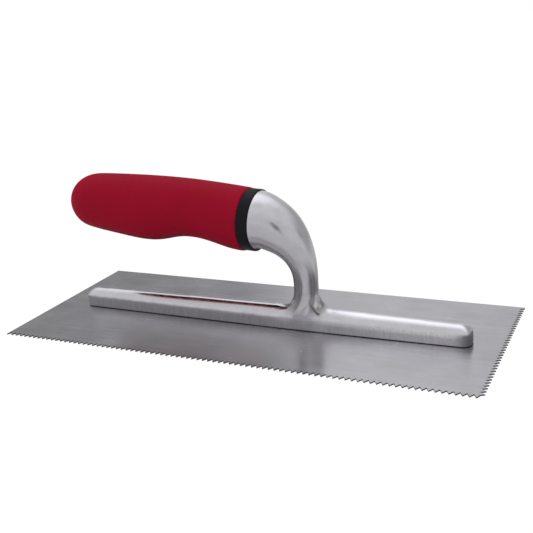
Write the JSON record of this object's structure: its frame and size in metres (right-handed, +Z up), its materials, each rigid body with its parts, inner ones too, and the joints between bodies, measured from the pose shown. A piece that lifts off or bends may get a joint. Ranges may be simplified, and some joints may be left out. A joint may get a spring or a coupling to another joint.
{
  "type": "notched trowel",
  "caption": "Rectangular steel trowel with fine V notches along one long edge and the toe, a cast aluminium mounting and a soft gooseneck handle.",
  "frame": {"origin": "middle of the blade's flat underside", "axes": "+X along the blade towards the toothed toe end, -Y towards the toothed long edge, +Z up from the blade to the handle"},
  "size_m": [0.28, 0.115, 0.0853],
  "materials": {
    "blade_steel": "fine cross-grain brushed, semi-gloss",
    "cast_aluminium": "polished crown and neck, ground matte sides",
    "black_plastic": "satin",
    "core_plastic": "as moulded, hidden",
    "red_soft_grip": "matte soft touch",
    "rivet_steel": "ground flush with the blade"
  },
  "bodies": {
    "root": {"blade": "blade_steel", "mounting": "cast_aluminium", "collar": "black_plastic", "handle_core": "core_plastic", "grip": "red_soft_grip", "rivet_1": "rivet_steel", "rivet_2": "rivet_steel", "rivet_3": "rivet_steel", "rivet_4": "rivet_steel", "rivet_5": "rivet_steel", "rivet_6": "rivet_steel", "rivet_7": "rivet_steel", "rivet_8": "rivet_steel"}
  },
  "joints": []
}
